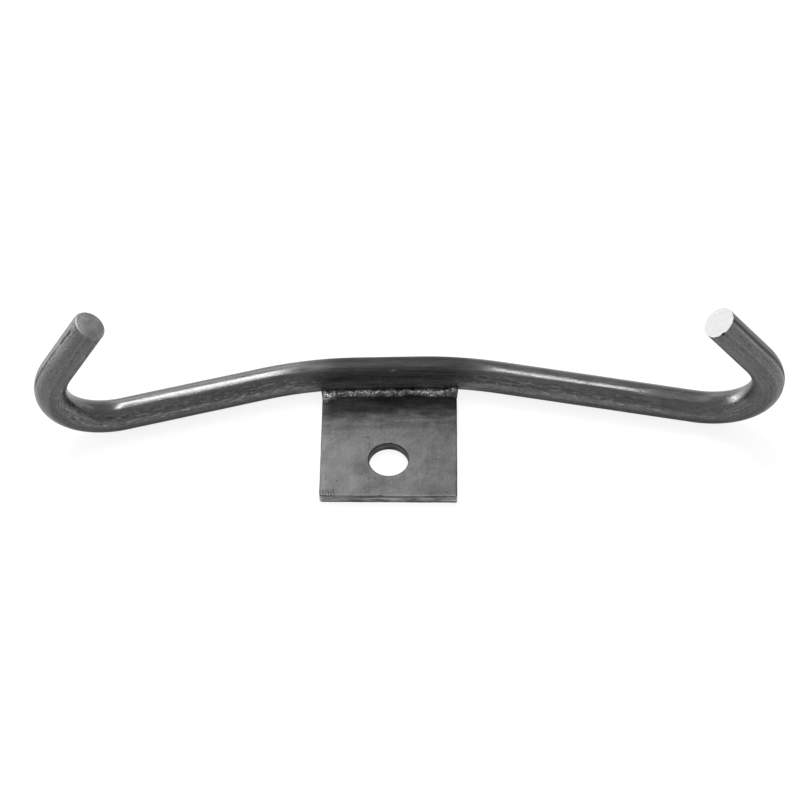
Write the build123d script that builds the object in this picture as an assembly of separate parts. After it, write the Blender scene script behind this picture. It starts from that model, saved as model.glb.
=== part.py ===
from build123d import *
from math import cos, radians, sin, sqrt
import os

# Frame grip: a round steel bar bent into two inward-leaning hooks, welded along the rear
# edge of a square drilled tab. The tab's back face and the underside of the bar's arms
# both lie on z = 0, so the grip rests flat with its hooks standing up.
# Origin: centre of the bolt hole on the tab's back face. +X runs along the bar's centre
# section, +Y from the bolt hole towards the bar and +Z out of the tab's front face.

# Bar
BAR_DIAMETER = 12.0
CENTRE_HALF_LENGTH = 28.0        # from the middle of the bar to each sweep bend's corner
SWEEP_BEND_RADIUS = 150.0        # gentle bend between the centre section and each arm
HOOK_BEND_RADIUS = 25.0          # centreline radius of the bend up into each hook leg
BAR_TO_HOLE = 38.5               # from the bar's axis to the bolt hole's axis
BAR_MIDDLE_X = -1.0              # the bar's middle lies this far from the bolt hole
SAWN_END_CHAMFER = 0.3
ROUNDED_END_CHAMFER = 1.2

# Each side: length from corner to corner of arm and leg, and their angles in degrees.
# Sweep turns the arm towards the tab's free edge, lean tips the leg inwards from
# upright and rake tips it back towards +Y.
RIGHT_SIDE = {"arm": 138.0, "leg": 76.0, "sweep": 11.8, "lean": 37.5, "rake": 1.0}
LEFT_SIDE = {"arm": 114.0, "leg": 72.0, "sweep": 14.0, "lean": 30.5, "rake": 3.0}

# Mounting tab
TAB_WIDTH = 50.0
TAB_THICKNESS = 4.0
HOLE_DIAMETER = 14.5             # coarse clearance hole for an M12 bolt
HOLE_TO_FREE_EDGE = 16.5
TAB_SKEW = -1.6                  # the blank is sheared and set slightly out of square
EDGE_BREAK = 0.3                 # worn arris along the tab's side and free edges

# Weld beads
FACE_BEAD_TOE_ON_TAB = 5.4       # from the bar's flank to the bead's edge on the tab
FACE_BEAD_TOP = 5.8              # height of the bead's edge on the bar
FACE_BEAD_CROWN = 0.55           # how far the face bulges past the straight line
FACE_BEAD_OVERRUN = 0.6          # run past each side edge of the tab
ROOT_BEAD_HEIGHT = 0.5           # clearance left between the root bead and z = 0
ROOT_BEAD_HOLLOW = 0.4           # concave dip of the root bead's face
ROOT_BEAD_SHORTFALL = 1.5        # the root bead stops short of each tab edge

BAR_RADIUS = BAR_DIAMETER / 2
BAR_HEIGHT = BAR_RADIUS          # height of the bar's axis
REAR_EDGE_GAP = sqrt(BAR_RADIUS**2 - (BAR_HEIGHT - TAB_THICKNESS) ** 2)
REAR_EDGE_Y = BAR_TO_HOLE - REAR_EDGE_GAP


def side_corners(side, direction):
    """Corner points of one side of the bar, from the sweep bend out to the hook's tip."""
    sweep, lean, rake = (radians(side[name]) for name in ("sweep", "lean", "rake"))
    middle = Vector(BAR_MIDDLE_X, BAR_TO_HOLE, BAR_HEIGHT)
    bend = middle + Vector(direction * CENTRE_HALF_LENGTH, 0, 0)
    elbow = bend + Vector(direction * cos(sweep), -sin(sweep), 0) * side["arm"]
    rise = cos(lean)
    leg = Vector(-direction * sin(lean), rise * sin(rake), rise * cos(rake))
    return [bend, elbow, elbow + leg * side["leg"]]


def bar_centreline():
    """One line and arc path from the left hook's tip to the right hook's tip."""
    corners = side_corners(LEFT_SIDE, -1)[::-1] + side_corners(RIGHT_SIDE, 1)
    radii = [HOOK_BEND_RADIUS, SWEEP_BEND_RADIUS, SWEEP_BEND_RADIUS, HOOK_BEND_RADIUS]
    return FilletPolyline(*corners, radius=radii)


def end_rim(bar, tip):
    """The circular edge around the bar's cut face at a hook's tip."""
    return bar.edges().filter_by(GeomType.CIRCLE).sort_by_distance(tip)[0]


def make_hook_bar():
    """The round bar with its centre section, two arms and two hooks in one length."""
    path = bar_centreline()
    start = Plane(origin=path @ 0, z_dir=path % 0)
    bar = sweep(start * Circle(BAR_RADIUS), path=path, transition=Transition.ROUND)
    left_tip, right_tip = path @ 0, path @ 1
    bar = chamfer(end_rim(bar, left_tip), ROUNDED_END_CHAMFER)
    return chamfer(end_rim(bar, right_tip), SAWN_END_CHAMFER)


def make_mounting_tab(bar):
    """The flat tab, its rear edge cut to follow the bar that it butts against."""
    length = HOLE_TO_FREE_EDGE + BAR_TO_HOLE
    blank = Pos(0, length / 2 - HOLE_TO_FREE_EDGE, TAB_THICKNESS / 2) * Box(
        TAB_WIDTH, length, TAB_THICKNESS
    )
    tab = Rot(0, 0, TAB_SKEW) * blank
    trim = Box(2 * TAB_WIDTH, TAB_WIDTH, 2 * TAB_THICKNESS)
    tab -= Pos(0, REAR_EDGE_Y + TAB_WIDTH / 2, TAB_THICKNESS / 2) * trim
    outline = tab.edges().filter_by(Axis.Z, reverse=True).filter_by(
        lambda edge: edge.center().Y < REAR_EDGE_Y - BAR_RADIUS
    )
    tab = chamfer(outline, EDGE_BREAK)
    tab -= Cylinder(HOLE_DIAMETER / 2, 4 * TAB_THICKNESS)
    return (tab - bar).solid()


def tab_middle_x(y):
    """X of the tab's skewed centreline at a given y."""
    return -y * sin(radians(TAB_SKEW)) / cos(radians(TAB_SKEW))


def extrude_along_bar(section, middle_x, length):
    """A YZ section, given as a closed wire's edges, extruded along the bar."""
    face = make_face(section)
    return extrude(Pos(middle_x - length / 2, 0, 0) * face, amount=length, dir=(1, 0, 0))


def make_face_weld_bead(bar, tab):
    """The fillet weld between the bar's flank and the tab's front face."""
    top = Vector(0, BAR_TO_HOLE - BAR_RADIUS, FACE_BEAD_TOP)
    toe = Vector(0, BAR_TO_HOLE - BAR_RADIUS - FACE_BEAD_TOE_ON_TAB, TAB_THICKNESS)
    across = toe - top
    bulge = Vector(0, across.Z, -across.Y).normalized() * FACE_BEAD_CROWN
    crown = (top + toe) * 0.5 + bulge
    root = Vector(0, BAR_TO_HOLE, TAB_THICKNESS)
    over_bar = Vector(0, BAR_TO_HOLE, FACE_BEAD_TOP)
    section = [
        ThreePointArc(toe, crown, top),
        Line(top, over_bar),
        Line(over_bar, root),
        Line(root, toe),
    ]
    length = TAB_WIDTH + 2 * FACE_BEAD_OVERRUN
    bead = extrude_along_bar(section, tab_middle_x(REAR_EDGE_Y), length)
    return (bead - bar - tab).solid()


def make_root_weld_bead(bar, tab):
    """The small weld in the groove under the bar, kept clear of the resting plane."""
    at_tab = Vector(0, REAR_EDGE_Y, ROOT_BEAD_HEIGHT)
    drop = BAR_HEIGHT - ROOT_BEAD_HEIGHT
    at_bar = Vector(0, BAR_TO_HOLE - sqrt(BAR_RADIUS**2 - drop**2), ROOT_BEAD_HEIGHT)
    dip = (at_tab + at_bar) * 0.5 + Vector(0, 0, ROOT_BEAD_HOLLOW)
    inside_bar = Vector(0, BAR_TO_HOLE, BAR_HEIGHT)
    top = Vector(0, REAR_EDGE_Y, BAR_HEIGHT)
    section = [
        ThreePointArc(at_tab, dip, at_bar),
        Line(at_bar, inside_bar),
        Line(inside_bar, top),
        Line(top, at_tab),
    ]
    length = TAB_WIDTH - 2 * ROOT_BEAD_SHORTFALL
    bead = extrude_along_bar(section, tab_middle_x(REAR_EDGE_Y), length)
    pieces = (bead - bar - tab).solids()
    return pieces.sort_by(Axis.Z)[0]


def main():
    bar = make_hook_bar()
    tab = make_mounting_tab(bar)
    nodes = {
        "hook_bar": bar,
        "mounting_tab": tab,
        "face_weld_bead": make_face_weld_bead(bar, tab),
        "root_weld_bead": make_root_weld_bead(bar, tab),
    }
    os.makedirs("parts", exist_ok=True)
    for name, shape in nodes.items():
        export_step(shape, f"parts/{name}.step")


main()
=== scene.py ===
import math

import bmesh
import bpy
import numpy as np
from mathutils import Matrix, Quaternion, Vector, noise


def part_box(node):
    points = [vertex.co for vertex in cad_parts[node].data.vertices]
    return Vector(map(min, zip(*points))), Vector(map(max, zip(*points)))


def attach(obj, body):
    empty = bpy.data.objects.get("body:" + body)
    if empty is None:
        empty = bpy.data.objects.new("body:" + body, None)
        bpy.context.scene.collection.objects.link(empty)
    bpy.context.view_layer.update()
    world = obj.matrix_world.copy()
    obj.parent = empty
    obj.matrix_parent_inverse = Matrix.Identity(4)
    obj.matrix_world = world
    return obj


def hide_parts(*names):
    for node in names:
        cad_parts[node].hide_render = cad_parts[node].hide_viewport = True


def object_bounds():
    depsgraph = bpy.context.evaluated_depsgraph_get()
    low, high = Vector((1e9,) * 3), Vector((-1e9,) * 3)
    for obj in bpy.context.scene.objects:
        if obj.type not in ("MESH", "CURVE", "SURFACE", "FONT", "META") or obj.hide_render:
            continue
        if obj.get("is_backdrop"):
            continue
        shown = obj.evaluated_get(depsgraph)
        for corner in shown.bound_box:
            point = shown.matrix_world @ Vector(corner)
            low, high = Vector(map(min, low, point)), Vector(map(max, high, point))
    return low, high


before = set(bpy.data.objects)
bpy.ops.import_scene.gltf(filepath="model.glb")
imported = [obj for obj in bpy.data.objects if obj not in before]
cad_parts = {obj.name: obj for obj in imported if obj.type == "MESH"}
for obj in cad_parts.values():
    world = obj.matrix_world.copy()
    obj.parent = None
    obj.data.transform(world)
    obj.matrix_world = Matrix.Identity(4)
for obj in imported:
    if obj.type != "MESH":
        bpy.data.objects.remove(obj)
CAD_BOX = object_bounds()

# Blender works in metres; MM turns the design's millimetres into them.
MM = 0.001

# -------- sizes, as in the CAD
BAR_LOW, BAR_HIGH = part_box("hook_bar")
_, TAB_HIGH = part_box("mounting_tab")
FACE_BEAD_LOW, FACE_BEAD_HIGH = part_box("face_weld_bead")
ROOT_BEAD_LOW, ROOT_BEAD_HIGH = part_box("root_weld_bead")

BAR_RADIUS = 6 * MM
BAR_MIDDLE = Vector((-1 * MM, BAR_HIGH.y - BAR_RADIUS, BAR_LOW.z + BAR_RADIUS))
CENTRE_HALF_LENGTH = 28 * MM
SWEEP_BEND_RADIUS = 150 * MM
HOOK_BEND_RADIUS = 25 * MM
RIGHT_SIDE = {"arm": 138 * MM, "leg": 76 * MM, "sweep": 11.8, "lean": 37.5, "rake": 1.0}
LEFT_SIDE = {"arm": 114 * MM, "leg": 72 * MM, "sweep": 14.0, "lean": 30.5, "rake": 3.0}

TAB_HALF_WIDTH = 25 * MM
TAB_THICKNESS = TAB_HIGH.z
TAB_SKEW = math.radians(-1.6)
HOLE_RADIUS = 7.25 * MM
HOLE_TO_FREE_EDGE = 16.5 * MM
REAR_EDGE_Y = BAR_MIDDLE.y - math.sqrt(BAR_RADIUS**2 - (BAR_MIDDLE.z - TAB_THICKNESS) ** 2)


# -------- small helpers
def smoothstep(low, high, value):
    """0 below low, 1 above high and smooth between; takes numbers or arrays."""
    t = np.clip((np.asarray(value, float) - low) / (high - low), 0, 1)
    return t * t * (3 - 2 * t)


def bell(value, middle, width):
    """1 at the middle, falling smoothly to nothing over about two widths."""
    return np.exp(-(((np.asarray(value, float) - middle) / width) ** 2))


def plateau(value, edges):
    """1 between the inner two of four rising edges, smooth down to 0 at the outer two."""
    return smoothstep(edges[0], edges[1], value) * (1 - smoothstep(edges[2], edges[3], value))


def lumps(points, size, seed, octaves=3):
    """Smooth noise, about -1 to 1, at each point; size is the length of one lump."""
    shift = Vector((seed * 17.3, seed * 5.7, seed * 11.9))
    values = [noise.fractal(Vector(p) / size + shift, 1.0, 2.0, octaves) for p in points]
    return np.array(values)


def grid_faces(rows, columns, close_rows=False, close_columns=False):
    """Quads over a rows by columns grid of points, joined round either way if closed."""
    faces = []
    for i in range(rows if close_rows else rows - 1):
        for j in range(columns if close_columns else columns - 1):
            beside = (j + 1) % columns
            row, below = i * columns, (i + 1) % rows * columns
            faces.append((row + j, row + beside, below + beside, below + j))
    return faces


def face_outward(mesh):
    """Turns every face of a closed mesh to look out of the solid."""
    solid = bmesh.new()
    solid.from_mesh(mesh)
    bmesh.ops.recalc_face_normals(solid, faces=solid.faces)
    solid.to_mesh(mesh)
    solid.free()


def mesh_object(name, points, faces, attributes=None):
    """A smooth-shaded mesh object with its point attributes, riding on the one body."""
    mesh = bpy.data.meshes.new(name)
    mesh.from_pydata([tuple(p) for p in points], [], faces)
    for key, values in (attributes or {}).items():
        values = np.asarray(values, np.float32)
        kind = "FLOAT_VECTOR" if values.ndim == 2 else "FLOAT"
        layer = mesh.attributes.new(key, kind, "POINT")
        layer.data.foreach_set("vector" if values.ndim == 2 else "value", values.ravel())
    mesh.polygons.foreach_set("use_smooth", np.ones(len(mesh.polygons), bool))
    mesh.validate()
    face_outward(mesh)
    piece = bpy.data.objects.new(name, mesh)
    bpy.context.scene.collection.objects.link(piece)
    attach(piece, "root")
    return piece


# -------- paths of runs and arcs
# A span is its length and a function that gives the point at a distance along it.
def straight_span(start, end):
    """A straight run from start to end."""
    way = (end - start).normalized()
    return (end - start).length, lambda distance: start + way * distance


def arc_span(middle, entry, way, radius, turn):
    """An arc about middle that leaves entry in a given way and turns through an angle."""
    arm = entry - middle

    def point(distance):
        angle = distance / radius
        return middle + arm * math.cos(angle) + way * radius * math.sin(angle)

    return radius * turn, point


def filleted_spans(corners, radii):
    """Spans of a path through corners, every corner but the two ends rounded to its radius."""
    spans, start = [], corners[0]
    for before, corner, after, radius in zip(corners, corners[1:], corners[2:], radii):
        back, ahead = (before - corner).normalized(), (after - corner).normalized()
        half = back.angle(ahead) / 2
        entry = corner + back * (radius / math.tan(half))
        middle = corner + (back + ahead).normalized() * (radius / math.sin(half))
        spans.append(straight_span(start, entry))
        spans.append(arc_span(middle, entry, -back, radius, math.pi - 2 * half))
        start = corner + ahead * (radius / math.tan(half))
    spans.append(straight_span(start, corners[-1]))
    return spans


def sample_spans(spans, step, trims=(0, 0)):
    """Evenly spaced points along the spans, less a trim at each end, and how far along each is."""
    total = sum(length for length, _ in spans)
    along = np.linspace(trims[0], total - trims[1], round(total / step) + 1)
    points = []
    for distance in along:
        left = distance
        for length, point in spans:
            if left <= length:
                break
            left -= length
        points.append(point(min(left, length)))
    return np.array(points), along


# -------- hook bar
BAR_STEP = 0.75 * MM
BAR_AROUND = 144
BAR_SINK = 0.03 * MM  # the skin lies this far inside the CAD bar, before its waves
UNEVEN_DEPTH = 0.03 * MM  # broad waves in the rolled surface
UNEVEN_SIZE = 7 * MM
DRAWN_DEPTH = 0.01 * MM  # fine lines along the bar
DRAWN_SIZE = 1.1 * MM

NOTCH_ANGLE = math.radians(236)  # where the saw tore a notch in the right tip's rim
NOTCH_DEPTH = 0.45 * MM
NOTCH_WIDTH = 0.85 * MM
NOTCH_LENGTH = 0.8 * MM

SEAM_ANGLE = math.radians(178)  # where the rolled seam runs, round from the bar's top
SEAM_DEPTH = 0.34 * MM
SEAM_HALF_WIDTH = 0.32 * MM
SEAM_LIP = 0.05 * MM
SEAM_LIP_OFFSET = 2.4  # how far out each lip stands, in half widths of the seam
SEAM_CLOSED = 0.2  # how much of the groove is left where the seam is closed
# Measured along the bar from its left tip: where the seam opens and closes, its two waves
# as depth and length, the lengths of its patches, and the places and lengths of its
# nearly closed and its widest stretch.
SEAM_OPEN = (2 * MM, 3.5 * MM, 33 * MM, 40 * MM)
SEAM_WAVES = ((0.12 * MM, 4 * MM), (0.1 * MM, 1.7 * MM))
SEAM_PATCHES = (1.9 * MM, 2.9 * MM)
SEAM_PINCH = (12.5 * MM, 2 * MM)
SEAM_GAPE = (6 * MM, 4 * MM)

# Rim radius and dome height of each tip: the left one is ground round, the right one sawn.
LEFT_CAP = (1.1 * MM, 0.7 * MM)
RIGHT_CAP = (0.2 * MM, 0.0)
CAP_EDGE_RINGS = 8
CAP_FACE_RINGS = 10
CAP_RIM_PAINTED_LIGHT_RINGS = 2.5  # the rim is painted paler over about this many rings, partly rubbed and partly painted light against its dark reflection
CAP_SAWN_FROM = 0.2  # share of the rim where the cut face's finish begins

INNER_SIDE = math.radians(346)  # near the arms' top, which is the hook bends' inner side
RIGHT_LEG_START = (140 * MM, 160 * MM)
LEFT_LEG_END = (-155 * MM, -120 * MM)
# Marks beside the right leg's seam: strength, and middle and width in degrees from the seam.
RIGHT_SEAM_MARKS = ((0.9, 8, 4), (-0.35, -6, 6.5), (0.25, 28, 20))
# The left leg's flank facing left, painted paler as painted light in place of the floor's
# reflection: strength, and its four edges in degrees from the seam.
LEFT_FLANK_PAINTED_LIGHT = 0.75
LEFT_FLANK_PAINTED_LIGHT_EDGES = (-60, -25, 5, 46)
# Marks on the inner side, partly rubbed wear and partly painted highlights: strength, then middle
# and length along the bar in millimetres from its middle, then middle and width round it in degrees.
INNER_MARKS_AND_PAINTED_HIGHLIGHTS = (
    (1.6, 140, 6.5, 4, 26),  # pale bend into the right hook, rubbed paler and partly a painted highlight
    (3.0, 3, 0.7, -16, 3),  # small bright nick above the weld
    (0.9, -116, 3, 0, 8),  # painted highlight before the left hook's bend, where the arm's streak runs on
    (0.4, -126, 8, 10, 28),  # pale bend into the left hook
)
# Dull stretches of the inner side, rougher and painted darker as painted shade that dims the
# highlight there: how much they take off, the four edges of the long one, and strength, middle and
# length in millimetres of the two short ones.
DULLING_PAINTED_SHADE = 0.4
DULL_PAINTED_SHADE_ARM = (88 * MM, 106 * MM, 126 * MM, 135 * MM)
DULL_PAINTED_SHADE_SPOTS = ((0.8, 34, 9), (0.8, -32, 7))
DULL_PAINTED_SHADE_BAND = (8, 18)  # middle and width round the bar, in degrees


def side_corners(side, direction):
    """Corner points of one side of the bar, from the sweep bend out to the hook's tip."""
    sweep, lean, rake = (math.radians(side[key]) for key in ("sweep", "lean", "rake"))
    bend = BAR_MIDDLE + Vector((direction * CENTRE_HALF_LENGTH, 0, 0))
    elbow = bend + Vector((direction * math.cos(sweep), -math.sin(sweep), 0)) * side["arm"]
    rise = math.cos(lean)
    leg = Vector((-direction * math.sin(lean), rise * math.sin(rake), rise * math.cos(rake)))
    return [bend, elbow, elbow + leg * side["leg"]]


def bar_route():
    """Centreline points of the bar, each one's distance from its middle, and the middle one."""
    corners = side_corners(LEFT_SIDE, -1)[::-1] + side_corners(RIGHT_SIDE, 1)
    radii = [HOOK_BEND_RADIUS, SWEEP_BEND_RADIUS, SWEEP_BEND_RADIUS, HOOK_BEND_RADIUS]
    trims = [sum(cap) for cap in (LEFT_CAP, RIGHT_CAP)]
    points, along = sample_spans(filleted_spans(corners, radii), BAR_STEP, trims)
    middle = np.argmin(np.linalg.norm(points - np.array(BAR_MIDDLE), axis=1))
    return points, along - along[middle], middle


def carried_frames(points, start):
    """Each point's direction, and two unit vectors square to it that turn no more than it does."""
    ways = np.gradient(points, axis=0)
    ways /= np.linalg.norm(ways, axis=1, keepdims=True)
    tops = np.zeros_like(points)
    tops[start] = (0, 0, 1)
    for i in list(range(start + 1, len(points))) + list(range(start - 1, -1, -1)):
        before = tops[i - 1] if i > start else tops[i + 1]
        top = before - ways[i] * (before @ ways[i])
        tops[i] = top / np.linalg.norm(top)
    return ways, tops, np.cross(tops, ways)


def turned(angles, place):
    """How far round each angle is from a place, from -pi to pi."""
    return (angles - place + math.pi) % (2 * math.pi) - math.pi


def rubbed_and_painted_light_shape(angles, alongs):
    """Where the scale is rubbed pale or painted light, above 0, or darker than the rest or painted
    shade, below 0.
    """
    from_seam = np.degrees(turned(angles, SEAM_ANGLE))
    right_leg = smoothstep(*RIGHT_LEG_START, alongs)
    left_leg = 1 - smoothstep(*LEFT_LEG_END, alongs)
    rubbed_and_painted_light = LEFT_FLANK_PAINTED_LIGHT * left_leg * plateau(from_seam, LEFT_FLANK_PAINTED_LIGHT_EDGES)
    for strength, place, width in RIGHT_SEAM_MARKS:
        rubbed_and_painted_light += strength * right_leg * bell(from_seam, place, width)
    from_inner = np.degrees(turned(angles, INNER_SIDE))
    for strength, place, length, turn, width in INNER_MARKS_AND_PAINTED_HIGHLIGHTS:
        mark = bell(alongs, place * MM, length * MM) * bell(from_inner, turn, width)
        rubbed_and_painted_light += strength * mark
    dull_painted_shade = plateau(alongs, DULL_PAINTED_SHADE_ARM)
    for strength, place, length in DULL_PAINTED_SHADE_SPOTS:
        dull_painted_shade += strength * bell(alongs, place * MM, length * MM)
    return rubbed_and_painted_light - DULLING_PAINTED_SHADE * dull_painted_shade * bell(from_inner, *DULL_PAINTED_SHADE_BAND)


def seam_shape(angles, alongs):
    """How open the rolled seam is, and how high its lips stand, both from 0 to 1."""
    from_tip = alongs - alongs.min()
    wander = sum(depth * np.sin(from_tip / length) for depth, length in SEAM_WAVES)
    off = turned(angles, SEAM_ANGLE + wander / BAR_RADIUS) * BAR_RADIUS
    short, long = (np.sin(from_tip / length) for length in SEAM_PATCHES)
    patchy = (0.7 + 0.3 * short * long) * (1 - 0.6 * bell(from_tip, *SEAM_PINCH))
    strength = SEAM_CLOSED + (1 - SEAM_CLOSED) * plateau(from_tip, SEAM_OPEN) * patchy
    width = SEAM_HALF_WIDTH * (1 + 0.5 * bell(from_tip, *SEAM_GAPE))
    lips = bell(np.abs(off), SEAM_LIP_OFFSET * width, width)
    return bell(off, 0, width) * strength, lips * strength


def build_bar():
    """The bent bar as one closed skin, with its seam, uneven surface and two ends."""
    centre, along, middle = bar_route()
    ways, tops, fronts = carried_frames(centre, middle)
    rows, columns = len(centre), BAR_AROUND
    angles = np.tile(np.arange(columns) * 2 * math.pi / columns, rows)
    alongs = np.repeat(along, columns)
    straight = np.stack([BAR_RADIUS * np.cos(angles), BAR_RADIUS * np.sin(angles), alongs], axis=1)
    uneven = UNEVEN_DEPTH * lumps(straight * (1, 1, 0.3), UNEVEN_SIZE, 1)
    drawn = DRAWN_DEPTH * lumps(straight * (1, 1, 0.05), DRAWN_SIZE, 2)
    seam, lips = seam_shape(angles, alongs)
    notch = bell((angles - NOTCH_ANGLE) * BAR_RADIUS, 0, NOTCH_WIDTH)
    notch *= bell(alongs, along[-1], NOTCH_LENGTH)
    radius = BAR_RADIUS - BAR_SINK + uneven + drawn - SEAM_DEPTH * seam + SEAM_LIP * lips
    radius -= NOTCH_DEPTH * notch
    out = (
        np.cos(angles)[:, None] * np.repeat(tops, columns, axis=0)
        + np.sin(angles)[:, None] * np.repeat(fronts, columns, axis=0)
    )
    skin = {
        "points": list(np.repeat(centre, columns, axis=0) + out * radius[:, None]),
        "faces": grid_faces(rows, columns, close_columns=True),
        "straight": list(straight),
        "seam": list(np.maximum(seam, notch)),
        "rubbed_and_painted_light": list(rubbed_and_painted_light_shape(angles, alongs)),
        "sawn": [0.0] * (rows * columns),
    }
    add_cap(skin, 0, columns, centre[0], -ways[0], LEFT_CAP, False)
    add_cap(skin, (rows - 1) * columns, columns, centre[-1], ways[-1], RIGHT_CAP, True)
    attributes = {key: skin[key] for key in ("straight", "seam", "rubbed_and_painted_light", "sawn")}
    return mesh_object("hook_bar_skin", skin["points"], skin["faces"], attributes)


def add_cap(skin, first, columns, middle, outward, shape, forward):
    """Closes one end of the bar with a rounded rim and a flat or slightly domed face."""
    points, faces = skin["points"], skin["faces"]
    edge_radius, dome = shape
    arms = [np.array(points[first + j]) - middle for j in range(columns)]

    def grow(*values):
        for key, value in zip(("points", "straight", "seam", "rubbed_and_painted_light", "sawn"), values):
            skin[key].append(value)

    previous = list(range(first, first + columns))
    for ring in range(1, CAP_EDGE_RINGS + CAP_FACE_RINGS):
        turn = min(ring / CAP_EDGE_RINGS, 1) * math.pi / 2
        inset = edge_radius * (1 - math.cos(turn))
        share = 1 - max(ring - CAP_EDGE_RINGS, 0) / CAP_FACE_RINGS
        lift = edge_radius * math.sin(turn) + dome * (1 - share**2)
        # Painted light on the rim, partly rubbed wear.
        rubbed_and_painted_light = float(bell(ring, CAP_EDGE_RINGS / 2, CAP_RIM_PAINTED_LIGHT_RINGS))
        sawn = float(smoothstep(CAP_SAWN_FROM, 1, ring / CAP_EDGE_RINGS))
        current = list(range(len(points), len(points) + columns))
        for j, arm in enumerate(arms):
            shrink = (1 - inset / np.linalg.norm(arm)) * share
            straight = skin["straight"][first + j] * (shrink, shrink, 1)
            seam = skin["seam"][first + j] * (ring < CAP_EDGE_RINGS)
            grow(middle + arm * shrink + outward * lift, straight, seam, rubbed_and_painted_light, sawn)
        join_rings(faces, previous, current, forward)
        previous = current
    tip = len(points)
    top = middle + outward * (edge_radius + dome)
    grow(top, skin["straight"][first] * (0, 0, 1), 0.0, 0.0, 1.0)
    for j in range(columns):
        triangle = (previous[j], previous[(j + 1) % columns], tip)
        faces.append(triangle if forward else triangle[::-1])


def join_rings(faces, inner, outer, forward):
    """Adds the quads between two rings of as many points, wound one way or the other."""
    count = len(inner)
    for j in range(count):
        k = (j + 1) % count
        quad = (inner[j], inner[k], outer[k], outer[j])
        faces.append(quad if forward else quad[::-1])


# -------- mounting tab
TAB_STEP = 0.42 * MM
TAB_CORNER_RADII = [0.5 * MM, 0.4 * MM, 0.4 * MM, 1.2 * MM]  # in the order of tab_corners
TAB_TOP_ARRIS = 0.3 * MM
TAB_BOTTOM_ARRIS = 0.3 * MM
HOLE_TOP_ARRIS = 0.35 * MM
HOLE_BOTTOM_ARRIS = 0.2 * MM
TAB_TOP_RINGS = 54
TAB_TOP_CROWDING = 1.15  # above 1 packs the top's rings closer to the hole
TAB_BOTTOM_RINGS = 24
ARRIS_RINGS = 6
WALL_RINGS = 8
WALL_TURN = (0.6, 1.5)  # radians round an arris where the wall's finish takes over
TAB_INTO_BAR = 0.3 * MM  # the plate's rear edge reaches this far into the bar

SHEARED_WAVES = ((0.05 * MM, 5 * MM, 5), (0.02 * MM, 1.2 * MM, 6))  # depth, size and seed
WALL_SINK = 0.05 * MM  # the side lies this far inside the outline
TORN_DEPTH = 0.06 * MM  # lumps where the shear tore the lower part of the side
TORN_SIZE = 0.8 * MM
TORN_FROM = (0.3, 0.55)  # shares of the side's height, from the top
DRILL_MARK_DEPTH = 0.015 * MM
DRILL_MARK_PITCH = 0.12 * MM
WAVY_DEPTH = 0.025 * MM  # broad waves in the top face
WAVY_SIZE = 14 * MM
WAVY_RISE = (0.5 * MM, 3 * MM)  # heights between which they set in
NICK_X = -3.4 * MM
NICK_DEPTH = 0.35 * MM
NICK_WIDTH = 0.9 * MM
FREE_EDGE_Y = (-14 * MM, -15.5 * MM)  # only beyond these does an edge point get the nick


def tab_corners():
    """The plate's four corners: free right, rear right, rear left and free left."""
    sin, cos = math.sin(TAB_SKEW), math.cos(TAB_SKEW)
    rear = REAR_EDGE_Y + TAB_INTO_BAR
    corners = []
    for side, at_rear in ((1, False), (1, True), (-1, True), (-1, False)):
        across = side * TAB_HALF_WIDTH
        up = (rear - across * sin) / cos if at_rear else -HOLE_TO_FREE_EDGE
        corners.append(Vector((across * cos - up * sin, across * sin + up * cos, 0)))
    return corners


def tab_outline():
    """Points anticlockwise round the plate's edge, and the outward direction at each."""
    corners = tab_corners()
    start = (corners[3] + corners[0]) / 2
    points, _ = sample_spans(filleted_spans([start, *corners, start], TAB_CORNER_RADII), TAB_STEP)
    points = points[:-1]
    ways = np.roll(points, -1, axis=0) - np.roll(points, 1, axis=0)
    outward = np.stack([ways[:, 1], -ways[:, 0], 0 * ways[:, 0]], axis=1)
    outward /= np.linalg.norm(outward, axis=1, keepdims=True)
    sheared = sum(depth * lumps(points, size, seed) for depth, size, seed in SHEARED_WAVES)
    return points + outward * sheared[:, None], outward


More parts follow.
